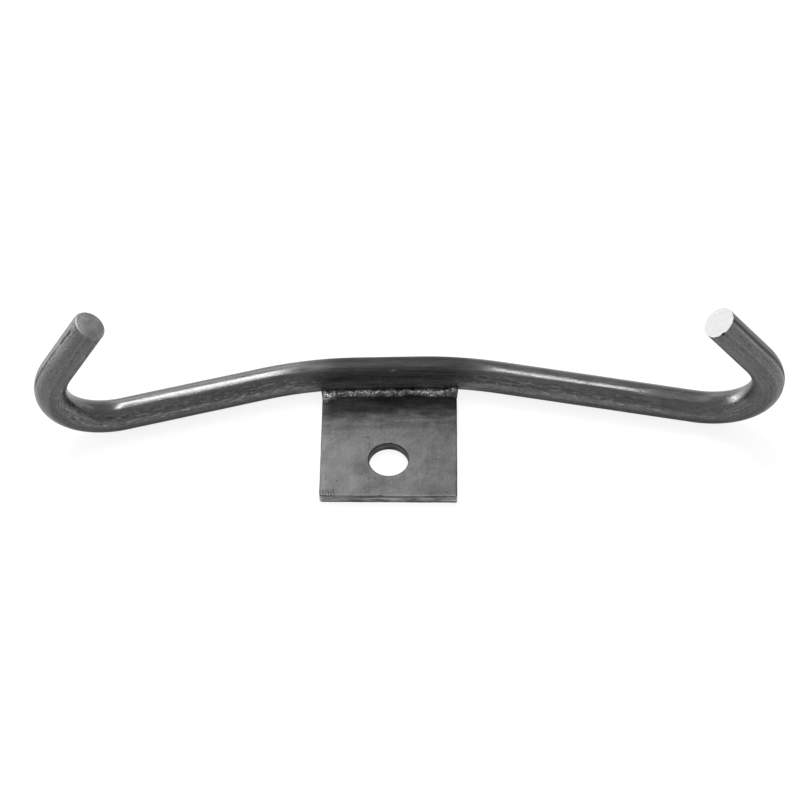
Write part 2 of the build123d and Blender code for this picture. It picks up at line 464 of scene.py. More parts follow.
def build_tab():
    """The drilled plate as one closed skin: face, worn edge, back and hole, ring by ring."""
    edge, outward = tab_outline()
    columns = len(edge)
    hole = edge / np.linalg.norm(edge, axis=1, keepdims=True)
    up = np.array([0, 0, 1])
    nick = NICK_DEPTH * bell(edge[:, 0], NICK_X, NICK_WIDTH) * smoothstep(*FREE_EDGE_Y, edge[:, 1])
    arris = TAB_TOP_ARRIS + nick
    rings, walls = [], []

    def add(points, wall):
        rings.append(points)
        walls.append(np.full(columns, float(wall)))

    top_inner = hole * (HOLE_RADIUS + HOLE_TOP_ARRIS)
    top_outer = edge - outward * arris[:, None]
    for share in np.linspace(0, 1, TAB_TOP_RINGS) ** TAB_TOP_CROWDING:
        add(top_inner + (top_outer - top_inner) * share + up * TAB_THICKNESS, 0)
    for turn in np.linspace(0, math.pi / 2, ARRIS_RINGS)[1:]:
        inset = arris * (1 - math.sin(turn))
        height = TAB_THICKNESS - arris * (1 - math.cos(turn))
        ring = edge - outward * inset[:, None] + up * height[:, None]
        add(ring, smoothstep(*WALL_TURN, turn))
    side_height = TAB_THICKNESS - TAB_TOP_ARRIS - TAB_BOTTOM_ARRIS
    for share in np.linspace(0, 1, WALL_RINGS)[1:-1]:
        height = TAB_THICKNESS - TAB_TOP_ARRIS - share * side_height
        torn = TORN_DEPTH * smoothstep(*TORN_FROM, share) * lumps(edge + up * height, TORN_SIZE, 7)
        add(edge - outward * (WALL_SINK + torn)[:, None] + up * height, 1)
    for turn in np.linspace(math.pi / 2, math.pi, ARRIS_RINGS):
        inset = TAB_BOTTOM_ARRIS * (1 - math.sin(turn))
        add(edge - outward * inset + up * TAB_BOTTOM_ARRIS * (1 + math.cos(turn)), 1)
    bottom_outer = edge - outward * TAB_BOTTOM_ARRIS
    bottom_inner = hole * (HOLE_RADIUS + HOLE_BOTTOM_ARRIS)
    for share in np.linspace(0, 1, TAB_BOTTOM_RINGS)[1:]:
        add(bottom_outer + (bottom_inner - bottom_outer) * share, 0)
    for share in np.linspace(0, 1, WALL_RINGS):
        height = HOLE_BOTTOM_ARRIS + share * (TAB_THICKNESS - HOLE_TOP_ARRIS - HOLE_BOTTOM_ARRIS)
        drill_marks = DRILL_MARK_DEPTH * math.sin(height / DRILL_MARK_PITCH)
        add(hole * (HOLE_RADIUS + drill_marks) + up * height, 1)
    for turn in np.linspace(math.pi / 2, 0, ARRIS_RINGS)[1:-1]:
        reach = HOLE_RADIUS + HOLE_TOP_ARRIS * (1 - math.sin(turn))
        height = TAB_THICKNESS - HOLE_TOP_ARRIS * (1 - math.cos(turn))
        add(hole * reach + up * height, smoothstep(*WALL_TURN, turn))
    points = np.concatenate(rings)
    wavy = WAVY_DEPTH * lumps(points * (1, 1, 0), WAVY_SIZE, 8, 2)
    points[:, 2] += wavy * smoothstep(*WAVY_RISE, points[:, 2])
    faces = grid_faces(len(rings), columns, close_rows=True, close_columns=True)
    return mesh_object("mounting_tab_plate", points, faces, {"wall": np.concatenate(walls)})


# -------- weld beads
BEAD_STEP = 0.14 * MM
BEAD_ACROSS = 46
BEAD_HIDDEN_SHARES = (0.25, 0.5, 0.75, 1.0)  # points along each hidden side of the section
BEAD_NOSE = 0.5 * MM  # length over which each end rounds off
BEAD_END_SIZE = 0.8  # how much of the section is left at each end
BEAD_SLANT = 0.6 * MM  # the ends lean in towards the toe by this much
BEAD_SLANT_RUN = 2.0 * MM
STEEP_AT_TOE = 0.75  # powers that shape the crown on either side of its middle
SOFT_AT_TOP = 1.4

# The surface: ripples, globs and grain, which are weaker over a short run at each end.
RIPPLE_PITCH = 1.25 * MM
RIPPLE_CURVE = 0.9 * MM  # how far each ripple bows along the bead
RIPPLE_HEIGHT = 0.06 * MM
GLOB_HEIGHT = 0.10 * MM
GLOB_MORE = 0.04 * MM  # added where the bead is rippled
GLOB_SIZE = 2.1 * MM
GRAIN_HEIGHT = 0.01 * MM
GRAIN_MORE = 0.03 * MM
GRAIN_SIZE = 0.7 * MM
LEFT_SMOOTH_RUN = 3.2 * MM
RIGHT_SMOOTH_RUN = 3.0 * MM

# The face bead. A lobe at each end pushes the toe further out and drops the top edge.
LEFT_LOBE = {"inward": 1.2 * MM, "length": 3.4 * MM, "toe": 2.3 * MM, "drop": 5, "crown": 0.0}
RIGHT_LOBE = {"inward": 1.8 * MM, "length": 2.6 * MM, "toe": 0.7 * MM, "drop": 13, "crown": 0.3 * MM}
TOE_RUN = 4.1 * MM  # from the bar's flank to the toe
TOE_BULGE = 0.5 * MM  # one more bulge of the toe, and its place and length
TOE_BULGE_PLACE = (18 * MM, 4 * MM)
TOE_WAVES = ((0.45 * MM, 2.6 * MM, 11), (0.12 * MM, 0.8 * MM, 12))  # depth, size and seed
TOE_SINK = 0.03 * MM  # the toe lies this far below the plate's face
TOP_DROP = 13  # degrees from the bar's side down to the bead's top edge
FACE_CROWN = 0.55 * MM
FACE_CROWN_WAVE = 0.22 * MM
# The hidden corners and the core of its section, as Y and Z. Y is from the bar's axis in the
# first two and from its flank in the core. The third is from the toe both ways.
FACE_INSIDE = (-3.5 * MM, 4.8 * MM)
FACE_UNDER = (-4.6 * MM, 2.2 * MM)
FACE_BELOW_TOE = (0.5 * MM, -0.9 * MM)
FACE_CORE = (-0.6 * MM, 3.8 * MM)

# The root bead's section: Y from the bar's axis or the tab's rear edge, and Z.
ROOT_AT_BAR = (-2.2 * MM, 0.6 * MM)
ROOT_AT_TAB = (-0.2 * MM, 0.5 * MM)
ROOT_IN_TAB = (-0.3 * MM, 3.0 * MM)
ROOT_IN_BAR = (-5.1 * MM, 4.5 * MM)
ROOT_CORE = (1.6 * MM, 1.6 * MM)
ROOT_CROWN = -0.35 * MM  # hollow
ROOT_CROWN_WAVE = 0.12 * MM
ROOT_WANDER = 0.2 * MM


def bar_axis_y(x):
    """Y of the bar's axis at each x near the tab, where the sweep bends begin."""
    y = np.full_like(x, BAR_MIDDLE.y)
    for direction, side in ((-1, LEFT_SIDE), (1, RIGHT_SIDE)):
        half = math.radians(side["sweep"]) / 2
        start = BAR_MIDDLE.x + direction * (CENTRE_HALF_LENGTH - SWEEP_BEND_RADIUS * math.tan(half))
        beyond = np.maximum((x - start) * direction, 0)
        y -= SWEEP_BEND_RADIUS - np.sqrt(SWEEP_BEND_RADIUS**2 - beyond**2)
    return y


def bead_line(x, y, z):
    """Points along a bead at each x; y and z may be arrays or plain numbers."""
    return np.stack([x, y + 0 * x, z + 0 * x], axis=1)


def bead_positions(low, high):
    """Evenly spaced x along a bead, and the same as points for noise to be read at."""
    x = np.linspace(low.x, high.x, round((high.x - low.x) / BEAD_STEP) + 1)
    return x, bead_line(x, 0, 0)


def bead_nose(x):
    """The share of the full section at each x, rounded off at both ends."""
    inward = np.clip(np.minimum(x - x[0], x[-1] - x) / BEAD_NOSE, 0, 1)
    return BEAD_END_SIZE + (1 - BEAD_END_SIZE) * np.sqrt(1 - (1 - inward) ** 2)


def build_face_bead():
    """The fillet weld: a lumpy rippled face on a closed section swept along the joint."""
    x, side = bead_positions(FACE_BEAD_LOW, FACE_BEAD_HIGH)
    axis_y = bar_axis_y(x)
    flank = axis_y - BAR_RADIUS
    toe_run = TOE_RUN + TOE_BULGE * bell(x, *TOE_BULGE_PLACE)
    toe_run += sum(depth * lumps(side, size, seed) for depth, size, seed in TOE_WAVES)
    drop = TOP_DROP + 3 * lumps(side, 3 * MM, 13)
    crown = FACE_CROWN + FACE_CROWN_WAVE * lumps(side, 3.5 * MM, 14)
    left = bell(x, x[0] + LEFT_LOBE["inward"], LEFT_LOBE["length"])
    right = bell(x, x[-1] - RIGHT_LOBE["inward"], RIGHT_LOBE["length"])
    for near, lobe in ((left, LEFT_LOBE), (right, RIGHT_LOBE)):
        toe_run += lobe["toe"] * near
        drop -= lobe["drop"] * near
        crown += lobe["crown"] * near
    drop = np.radians(drop)
    top_z = BAR_MIDDLE.z - BAR_RADIUS * np.sin(drop)
    top = bead_line(x, axis_y - BAR_RADIUS * np.cos(drop), top_z)
    toe = bead_line(x, flank - toe_run, TAB_THICKNESS - TOE_SINK)
    back = [
        bead_line(x, axis_y + FACE_INSIDE[0], FACE_INSIDE[1]),
        bead_line(x, axis_y + FACE_UNDER[0], FACE_UNDER[1]),
        toe + np.array([0, *FACE_BELOW_TOE]),
    ]
    core = bead_line(x, flank + FACE_CORE[0], FACE_CORE[1])
    return bead_skin("face_weld_bead_skin", x, toe, top, back, core, crown, 21)


def bead_section(toe, top, back, crown):
    """Lines of points round a bead's section: the crowned face, then the hidden sides."""
    across = top - toe
    lift = np.stack([0 * across[:, 0], -across[:, 2], across[:, 1]], axis=1)
    lift /= np.linalg.norm(lift, axis=1, keepdims=True)
    lines = []
    for share in np.linspace(0, 1, BEAD_ACROSS):
        power = STEEP_AT_TOE if share < 0.5 else SOFT_AT_TOP
        rise = crown * (4 * share * (1 - share)) ** power
        lines.append(toe + across * share + lift * rise[:, None])
    hidden = [top, *back, toe]
    for start, end in zip(hidden, hidden[1:]):
        lines += [start + (end - start) * share for share in BEAD_HIDDEN_SHARES]
    return np.stack(lines[:-1], axis=1), lift


def bead_skin(name, x, toe, top, back, core, crown, seed):
    """Sweeps a bead: a crowned face from toe to top, closed behind, narrowed at its noses."""
    points, lift = bead_section(toe, top, back, crown)
    count = points.shape[1]
    points = core[:, None] + (points - core[:, None]) * bead_nose(x)[:, None, None]
    share = np.concatenate([np.linspace(0, 1, BEAD_ACROSS), np.zeros(count - BEAD_ACROSS)])
    near_end = bell(x, x[0], BEAD_SLANT_RUN) - bell(x, x[-1], BEAD_SLANT_RUN)
    points[..., 0] = x[:, None] + BEAD_SLANT * near_end[:, None] * (1 - share)
    flat = points.reshape(-1, 3)
    shares = np.tile(share, len(x))
    rippled = smoothstep(0, LEFT_SMOOTH_RUN, flat[:, 0] - x[0])
    rippled *= smoothstep(0, RIGHT_SMOOTH_RUN, x[-1] - flat[:, 0])
    curve = RIPPLE_CURVE * (2 * shares - 1) ** 2
    phase = (flat[:, 0] + curve) / RIPPLE_PITCH + 0.5 * lumps(flat, 4 * MM, seed)
    ripples = (np.abs(np.sin(math.pi * phase)) - 0.6) * rippled
    ripples *= 0.6 + 0.6 * lumps(flat, 5 * MM, seed + 1)
    height = RIPPLE_HEIGHT * ripples
    height += (GLOB_HEIGHT + GLOB_MORE * rippled) * lumps(flat, GLOB_SIZE, seed + 2)
    height += (GRAIN_HEIGHT + GRAIN_MORE * rippled) * lumps(flat, GRAIN_SIZE, seed + 3)
    fading = (4 * shares * (1 - shares)) ** 0.5
    flat = flat + np.repeat(lift, count, axis=0) * (height * fading)[:, None]
    faces = grid_faces(len(x), count, close_columns=True)
    faces.append(tuple(range(count)))
    faces.append(tuple(range((len(x) - 1) * count, len(x) * count))[::-1])
    attributes = {"across": shares, "relief": height / MM, "smooth": 1 - rippled}
    return mesh_object(name, flat, faces, attributes)


def build_root_bead():
    """The small hollow weld in the groove under the bar, facing down."""
    x, side = bead_positions(ROOT_BEAD_LOW, ROOT_BEAD_HIGH)
    axis_y = bar_axis_y(x)
    wander = ROOT_WANDER * lumps(side, 3 * MM, 31)
    at_bar = bead_line(x, axis_y + ROOT_AT_BAR[0] + wander, ROOT_AT_BAR[1])
    at_tab = bead_line(x, REAR_EDGE_Y + ROOT_AT_TAB[0], ROOT_AT_TAB[1])
    back = [
        bead_line(x, REAR_EDGE_Y + ROOT_IN_TAB[0], ROOT_IN_TAB[1]),
        bead_line(x, axis_y + ROOT_IN_BAR[0], ROOT_IN_BAR[1]),
    ]
    core = bead_line(x, REAR_EDGE_Y + ROOT_CORE[0], ROOT_CORE[1])
    crown = ROOT_CROWN + ROOT_CROWN_WAVE * lumps(side, 3 * MM, 32)
    return bead_skin("root_weld_bead_skin", x, at_bar, at_tab, back, core, crown, 41)


# -------- weld spatter
SPATTER_COUNT = 12
SPATTER_SIDES = 10
SPATTER_RADII = (0.08, 0.18)  # millimetres
SPATTER_REACH = 24  # millimetres either way along the bar
SPATTER_TURN = (math.radians(15), math.radians(95))  # from the bar's top to its front
SPATTER_RELIEF = -0.04  # the drops are as dark as the bead at this relief


def add_drop(points, faces, middle, size):
    """Adds a closed ball, its two poles flattened to polygons."""
    first = len(points)
    rings = SPATTER_SIDES - 1
    for ring in range(1, SPATTER_SIDES):
        polar = math.pi * ring / SPATTER_SIDES
        flat, height = math.sin(polar) * size, math.cos(polar) * size
        for j in range(SPATTER_SIDES):
            turn = 2 * math.pi * j / SPATTER_SIDES
            points.append(middle + Vector((flat * math.cos(turn), flat * math.sin(turn), height)))
    band = grid_faces(rings, SPATTER_SIDES, close_columns=True)
    faces.extend(tuple(first + k for k in face) for face in band)
    faces.append(tuple(first + j for j in range(SPATTER_SIDES))[::-1])
    faces.append(tuple(first + (rings - 1) * SPATTER_SIDES + j for j in range(SPATTER_SIDES)))


def build_spatter():
    """Small round drops of weld metal stuck to the bar above the joint."""
    chance = np.random.default_rng(7)
    points, faces = [], []
    for _ in range(SPATTER_COUNT):
        size = chance.uniform(*SPATTER_RADII) * MM
        x = chance.uniform(-SPATTER_REACH, SPATTER_REACH) * MM
        angle = chance.uniform(*SPATTER_TURN)
        y = float(bar_axis_y(np.array([x]))[0]) - BAR_RADIUS * math.sin(angle)
        middle = Vector((x, y, BAR_MIDDLE.z + BAR_RADIUS * math.cos(angle)))
        add_drop(points, faces, middle, size)
    zeros = np.zeros(len(points))
    attributes = {"across": zeros + 0.5, "relief": zeros + SPATTER_RELIEF, "smooth": zeros}
    return mesh_object("weld_spatter", points, faces, attributes)


# -------- materials
class Nodes:
    """Short calls for building the node tree of a material or of the world."""

    def __init__(self, owner, shader="Principled BSDF"):
        owner.use_nodes = True
        self.owner = owner
        self.tree = owner.node_tree
        self.shader = self.tree.nodes[shader]

    def put(self, socket, value):
        """Links a socket to the input, or sets the input to a plain value."""
        if isinstance(value, bpy.types.NodeSocket):
            self.tree.links.new(value, socket)
        else:
            socket.default_value = value

    def add(self, kind, inputs=None, **settings):
        """A new node with its settings made and its inputs linked or set."""
        node = self.tree.nodes.new(kind)
        for key, value in settings.items():
            setattr(node, key, value)
        for key, value in (inputs or {}).items():
            self.put(node.inputs[key], value)
        return node

    def set(self, **inputs):
        """Links or sets the shader's inputs; an underscore stands for a space."""
        for key, value in inputs.items():
            self.put(self.shader.inputs[key.replace("_", " ")], value)

    def attribute(self, name, output="Fac"):
        return self.add("ShaderNodeAttribute", attribute_name=name).outputs[output]

    def place(self):
        """Where a point is on the piece, in millimetres."""
        return self.stretch(self.add("ShaderNodeTexCoord").outputs["Object"], TO_MM)

    def axes(self, vector):
        """The vector's three components."""
        return list(self.add("ShaderNodeSeparateXYZ", {0: vector}).outputs)

    def stretch(self, vector, scale, offset=(0, 0, 0)):
        mapping = {"Vector": vector, "Scale": scale, "Location": offset}
        return self.add("ShaderNodeMapping", mapping).outputs["Vector"]

    def turn(self, vector, angle):
        mapping = {"Vector": vector, "Rotation": (0, 0, angle)}
        return self.add("ShaderNodeMapping", mapping).outputs["Vector"]

    def noise(self, vector, scale, detail, roughness, distortion=0.0):
        inputs = {"Vector": vector, "Scale": scale, "Detail": detail, "Roughness": roughness}
        return self.add("ShaderNodeTexNoise", {**inputs, "Distortion": distortion}).outputs["Fac"]

    def streaks(self, vector, scales, detail, roughness, distortion=0.0, offset=(0, 0, 0)):
        """Noise with its own scale along each axis."""
        return self.noise(self.stretch(vector, scales, offset), 1.0, detail, roughness, distortion)

    def specks(self, vector, scale, size, share):
        """1 inside small round spots, of which only a share of the cells has one."""
        cells = self.add("ShaderNodeTexVoronoi", {"Vector": vector, "Scale": scale})
        spot = self.range(cells.outputs["Distance"], size * 0.5, size, 1.0, 0.0)
        chance = self.add("ShaderNodeSeparateColor", {0: cells.outputs["Color"]}).outputs[0]
        return self.math("MULTIPLY", spot, self.math("LESS_THAN", chance, share))

    def math(self, operation, a, b=0.0):
        return self.add("ShaderNodeMath", {0: a, 1: b}, operation=operation).outputs[0]

    def total(self, *terms):
        """The sum of terms, each a socket, a plain number or a (socket, factor) pair."""
        result = None
        for term in terms:
            value, factor = term if isinstance(term, tuple) else (term, None)
            if factor is not None:
                value = self.math("MULTIPLY", value, factor)
            result = value if result is None else self.math("ADD", result, value)
        return result

    def product(self, first, *others):
        for other in others:
            first = self.math("MULTIPLY", first, other)
        return first

    def range(self, value, low, high, to_low=0.0, to_high=1.0):
        """to_low where value is low, to_high where it is high, and smooth between."""
        inputs = {"Value": value, "From Min": low, "From Max": high}
        inputs |= {"To Min": to_low, "To Max": to_high}
        node = self.add("ShaderNodeMapRange", inputs, interpolation_type="SMOOTHSTEP")
        return node.outputs["Result"]

    def blend(self, factor, a, b):
        """a where factor is 0, b where it is 1, for plain numbers."""
        return self.add("ShaderNodeMix", {0: factor, 2: a, 3: b}, data_type="FLOAT").outputs[0]

    def times(self, mask, strength):
        """A factor for a tone: 1 where mask is 0 and strength where it is 1."""
        return self.blend(mask, 1.0, strength)

    def grey(self, value):
        return self.add("ShaderNodeCombineColor", {0: value, 1: value, 2: value}).outputs[0]

    def metal(self, tone, rough, height, depth):
        """Makes the shader bare metal of this grey, roughness and relief."""
        bump = self.add("ShaderNodeBump", {"Height": height, "Distance": depth})
        self.set(Base_Color=self.grey(tone), Roughness=rough, Metallic=1.0)
        self.set(Normal=bump.outputs["Normal"])
        return self.owner


# In the materials every length is in millimetres, and a pair gives where a change starts and
# where it is complete. In a total each pair is a texture and its weight.
TO_MM = (1 / MM, 1 / MM, 1 / MM)

# The bar: upward and back are across its section from the axis, along is from its middle.
WELD_MIDDLE = 3.0
HEAT_FADES = (19.0, 40.0)  # distances from the weld
HEAT_RAGGED = 10.0  # how far noise moves the edge of the heat tint
SCALE_BELOW = (5.3, 4.4)  # flaky scale lies below the crest,
SCALE_ABOVE = (0.0, 1.5)  # above the flank
SCALE_IN_FRONT = (0.0, -2.0)  # and on the front,
SCALE_THINS = (80.0, 118.0)  # and thins out along the right arm
SCALE_AT_END = 0.25
CREST = (4.4, 5.5)  # the crest is smoother than the rest,
CREST_ENDS = (118.0, 132.0)  # as far as the hooks
HEAT_PAINTED_LIGHT_FALLS = (3.6, -0.5)  # in the heat tint, painted shade darkens the top and painted light pales the flank,
HEAT_PAINTED_LIGHT_TONES = (0.35, 2.0)
FOOT_PAINTED_LIGHT_FALLS = (0.3, -1.6)  # and painted light is strongest at the foot of the front
FOOT_PAINTED_LIGHT = 2.1
REAR_SLOPE = 1.4  # the rear and underside, where back is over this times upward, keep a plain tint without this painted light and shade
REAR = (0.0, 4.5)
REAR_TONE = 0.8
LEFT_LEG = (-150.0, -128.0)
LEFT_LEG_PALE = 1.12
RIGHT_LEG = (145.0, 165.0)
RIGHT_LEG_PALE = 1.18
LEGS_DULL = (132.0, 158.0)
CUT_ENDS = (-1.0, 1.0)  # tells the left tip from the right one
SEAM_SHADE = 0.08
CUT_ROUGHNESS = 0.45
BAR_BUMP = 0.05 * MM


def bar_steel():
    """Hot-rolled bar: dark scale with drawn streaks and rubbed flakes, sooty near the weld, with
    painted light and painted shade on flanks, bends and the heat tint.
    """
    n = Nodes(bpy.data.materials.new("bar_steel"))
    straight = n.stretch(n.attribute("straight", "Vector"), TO_MM)
    upward, back, along = n.axes(straight)
    from_middle = n.math("ABSOLUTE", along)
    bands = n.streaks(straight, (0.9, 0.9, 0.02), 4.0, 0.6)
    lines = n.streaks(straight, (3.0, 3.0, 0.07), 3.0, 0.7)
    patches = n.streaks(straight, (0.3, 0.3, 0.1), 4.0, 0.6, 0.3)
    grain = n.noise(straight, 1.2, 5.0, 0.8)
    flakes = n.range(n.streaks(straight, (1.3, 1.3, 0.3), 5.0, 0.7, 0.2), 0.48, 0.66)
    speckled = n.streaks(straight, (1.3, 1.3, 0.35), 3.0, 0.6, offset=(9, 2, 5))
    specks = n.range(speckled, 0.56, 0.7)

    ragged = n.total(n.streaks(straight, (0.25, 0.25, 0.12), 4.0, 0.6), -0.5)
    from_weld = n.math("ABSOLUTE", n.math("ADD", along, -WELD_MIDDLE))
    heat = n.range(n.total(from_weld, (ragged, HEAT_RAGGED)), *HEAT_FADES, 1.0, 0.0)
    flaky = n.product(
        n.range(upward, *SCALE_BELOW),
        n.range(upward, *SCALE_ABOVE),
        n.range(back, *SCALE_IN_FRONT),
        n.times(heat, 0.1),
        n.range(along, *SCALE_THINS, 1.0, SCALE_AT_END),
    )
    smooth = n.product(n.range(upward, *CREST), n.range(from_middle, *CREST_ENDS, 1.0, 0.0))
    fine = n.total(n.product(n.total(grain, -0.5), n.times(smooth, 0.3)), 0.5)

    tone = n.total((bands, 0.12), (patches, 0.07), (lines, 0.10), (fine, 0.26), -0.145)
    tone = n.total(tone, (flakes, n.blend(flaky, 0.02, 0.15)))
    tone = n.total(tone, (specks, n.blend(flaky, -0.03, -0.06)))
    # Painted shade on the top and painted light on the flank and foot of the front, in the heat tint
    # only; the lines are the tint's own streaks.
    heat_tint_and_painted_light = n.blend(n.range(upward, *HEAT_PAINTED_LIGHT_FALLS), *HEAT_PAINTED_LIGHT_TONES)
    foot_painted_light = n.range(upward, *FOOT_PAINTED_LIGHT_FALLS, 1.0, FOOT_PAINTED_LIGHT)
    heat_tint_and_painted_light = n.product(heat_tint_and_painted_light, n.total((lines, 1.6), 0.2), foot_painted_light)
    rear = n.range(n.total(back, (upward, -REAR_SLOPE)), *REAR)
    heat_tint_and_painted_light = n.blend(rear, heat_tint_and_painted_light, REAR_TONE)
    left_leg = n.range(along, *LEFT_LEG, LEFT_LEG_PALE, 1.0)
    right_leg = n.range(along, *RIGHT_LEG, 1.0, RIGHT_LEG_PALE)
    seam = n.range(n.attribute("seam"), 0.2, 0.75, 1.0, SEAM_SHADE)
    # This attribute holds rubbed wear together with painted light and painted shade.
    rubbed_and_painted_light = n.attribute("rubbed_and_painted_light")
    rubbing_and_painted_light = n.total(n.product(rubbed_and_painted_light, n.total((grain, 2.2), -0.1)), 1.0)
    tone = n.product(tone, n.times(heat, heat_tint_and_painted_light), left_leg, right_leg, seam, rubbing_and_painted_light)

    saw_marks = n.streaks(straight, (0.25, 3.5, 1.0), 3.0, 0.6)
    cut_right = n.total((saw_marks, 0.30), (lines, 0.06), 0.52)
    cut_left = n.total((grain, 0.28), (patches, 0.28), (rubbed_and_painted_light, 0.12), -0.03)
    sawn = n.attribute("sawn")
    tone = n.blend(sawn, tone, n.blend(n.range(along, *CUT_ENDS), cut_left, cut_right))

    legs = n.range(from_middle, *LEGS_DULL)
    shine = n.range(patches, 0.35, 0.7, 0.15, 0.24)
    rough = n.total(shine, (heat, 0.32), (legs, 0.18), (lines, 0.04))
    rough = n.math("ADD", rough, n.range(rubbed_and_painted_light, 0.0, -0.4, 0.0, 0.26))
    rough = n.blend(sawn, rough, CUT_ROUGHNESS)
    height = n.total((bands, 0.6), (lines, 0.35), (fine, 0.9), (flakes, 0.12), (specks, -0.2))
    return n.metal(tone, rough, height, BAR_BUMP)


# The tab: x, y and z are the part's own, from the hole's axis on the back face.
SOOT = (17.0, 24.0)  # y, towards the weld
SOOT_LEFT = (-25.0, -20.5)  # x where it sets in, thinner at the left edge
HALO = (8.5, 20.0)  # the thinner soot in front of it
ARRIS_HIGHLIGHT_Y = (-15.3, -16.1)  # the free edge's arris, painted paler as a painted highlight,
ARRIS_HIGHLIGHT_Z = (3.5, 3.8)  # on the top face only
# painted light: the plate is paler towards its left edge
LEFT_EDGE_PAINTED_LIGHT = (-24.6, -21.5)
UNDERCUT_SHADE_Y = (24.3, 26.5)  # painted shade in a dark strip along the bead's toe
UNDERCUT_SHADE_X = (-10.0, -3.0)
SMUDGE_PLACE = (-10.0, -3.0, 4.0)
SMUDGE_FADES = (1.0, 6.0)
JAW_PITCH = 6.3  # radians of a sine for each millimetre across the marks
JAW_SLANT = 0.7
JAW_RIGHT = (-19.2, -17.6)  # the marks end here, towards the right,
JAW_TOP = (-10.7, -9.8)  # here, towards the weld,
JAW_Z = (3.5, 3.9)  # and are on the top face only
SCUFF_ANGLE = 0.75
HOLE_ZONE = (70.0, 90.0)  # squared distances from the hole's axis
HOLE_SHADE = 0.36
TAB_BUMP = 0.045 * MM


def tab_steel():
    """Flat bar: satin grey with pits and faint brushed lines, sooty beside the weld, with painted
    shade along the bead's toe and on the sides, and painted light at the left edge and the free
    arris.
    """
    n = Nodes(bpy.data.materials.new("tab_steel"))
    place = n.place()
    x, y, z = n.axes(place)
    brushed = n.streaks(place, (1.3, 0.09, 1.0), 4.0, 0.6)
    scuffed = n.streaks(n.turn(place, SCUFF_ANGLE), (1.1, 0.12, 1.0), 4.0, 0.65)
    cloud = n.noise(place, 0.13, 6.0, 0.62, 0.6)
    stained = n.noise(n.stretch(place, (1, 1, 1), (31, 12, 0)), 0.07, 4.0, 0.6, 0.5)
    stain = n.range(stained, 0.5, 0.68)
    grain = n.noise(place, 1.9, 4.0, 0.75)
    pits = n.specks(place, 0.36, 0.13, 0.6)
    small_pits = n.specks(n.stretch(place, (1, 1, 1), (7, 3, 0)), 0.8, 0.2, 0.3)

    wander = n.total(n.streaks(place, (0.16, 0.3, 0.2), 5.0, 0.65), -0.5)
    soot = n.range(n.total(y, (wander, 7.0), (x, -0.05)), *SOOT)
    soot = n.product(soot, n.range(x, *SOOT_LEFT, 0.55, 1.0))
    halo = n.range(n.total(y, (wander, 9.0), (x, -0.06)), *HALO)
    smoke = n.streaks(place, (0.09, 0.5, 1.0), 5.0, 0.65, 0.6)
    smoke_bands = n.range(smoke, 0.36, 0.64, 0.68, 1.3)
    # Painted shade along the toe of the bead.
    undercut_painted_shade = n.product(n.range(y, *UNDERCUT_SHADE_Y), n.range(x, *UNDERCUT_SHADE_X))
    from_free_edge = n.total(y, (x, math.tan(-TAB_SKEW)))
    # Painted highlight along the top arris of the free edge.
    painted_arris_highlight = n.product(n.range(from_free_edge, *ARRIS_HIGHLIGHT_Y), n.range(z, *ARRIS_HIGHLIGHT_Z))
    to_smudge = {0: place, 1: SMUDGE_PLACE}
    from_smudge = n.add("ShaderNodeVectorMath", to_smudge, operation="DISTANCE").outputs["Value"]
    smudge = n.product(n.range(from_smudge, *SMUDGE_FADES, 1.0, 0.0), n.range(grain, 0.35, 0.6))
    jaw_marks = n.product(
        n.range(n.math("SINE", n.total((x, JAW_PITCH), (y, JAW_SLANT))), 0.3, 0.9),
        n.range(n.total(x, (cloud, 3.0)), *JAW_RIGHT, 1.0, 0.0),
        n.range(n.total(y, (brushed, 6.0)), *JAW_TOP, 1.0, 0.0),
        n.range(z, *JAW_Z),
    )

    tone = n.total((brushed, 0.03), (scuffed, 0.025), (cloud, 0.07), (grain, 0.06), -0.033)
    small_pit_shade = n.range(x, 2.0, 16.0, 0.8, 0.5)
    tone = n.product(tone, n.times(pits, 0.62), n.times(small_pits, small_pit_shade))
    tone = n.product(tone, n.times(stain, 0.8), n.times(jaw_marks, 0.6), n.times(smudge, 0.6))
    tone = n.product(tone, n.times(soot, 0.25), n.times(halo, 0.62), n.times(halo, smoke_bands))
    tone = n.product(tone, n.times(undercut_painted_shade, 0.55), n.times(painted_arris_highlight, 1.3))
    # Painted light towards the left edge.
    tone = n.product(tone, n.range(x, *LEFT_EDGE_PAINTED_LIGHT, 1.13, 1.0))

    streaked = n.range(n.streaks(place, (0.16, 0.16, 1.6), 4.0, 0.6), 0.38, 0.66)
    from_axis_squared = n.total(n.product(x, x), n.product(y, y))
    in_hole = n.range(from_axis_squared, *HOLE_ZONE, HOLE_SHADE, 1.0)
    wall = n.product(n.total((streaked, 6.6), 3.8), in_hole)
    # Painted shade: the top of the side, just under the arris, is darker; the side is also darker
    # towards the bottom.
    wall = n.product(wall, n.range(z, 2.5, 3.3, 1.0, 0.5), n.range(z, 0.5, 1.0, 0.6, 1.0))
    tone = n.product(tone, n.times(n.attribute("wall"), wall))

    rough = n.total((cloud, 0.12), (grain, 0.10), 0.20)
    height = n.total((brushed, 0.25), (scuffed, 0.2), (grain, 0.5))
    height = n.total(height, (pits, -1.0), (small_pits, -0.6), (jaw_marks, -0.8))
    return n.metal(tone, rough, height, TAB_BUMP)


# The beads: x is the part's own, and across runs from 0 at a bead's toe to 1 at its top.
LOBE_X = (-24.0, -18.0)
LOBE_PALE = 1.65
SUNKEN_LEFT = (-6.0, -1.0)  # ends of the bead's darker stretch
SUNKEN_RIGHT = (13.0, 9.0)
TOE_SHADES = (0.0, 0.22, 0.22, 1.0)  # from and to across, from and to tone
TOP_SHADES = (0.8, 1.0, 1.0, 0.85)
WELD_BUMP = 0.1 * MM


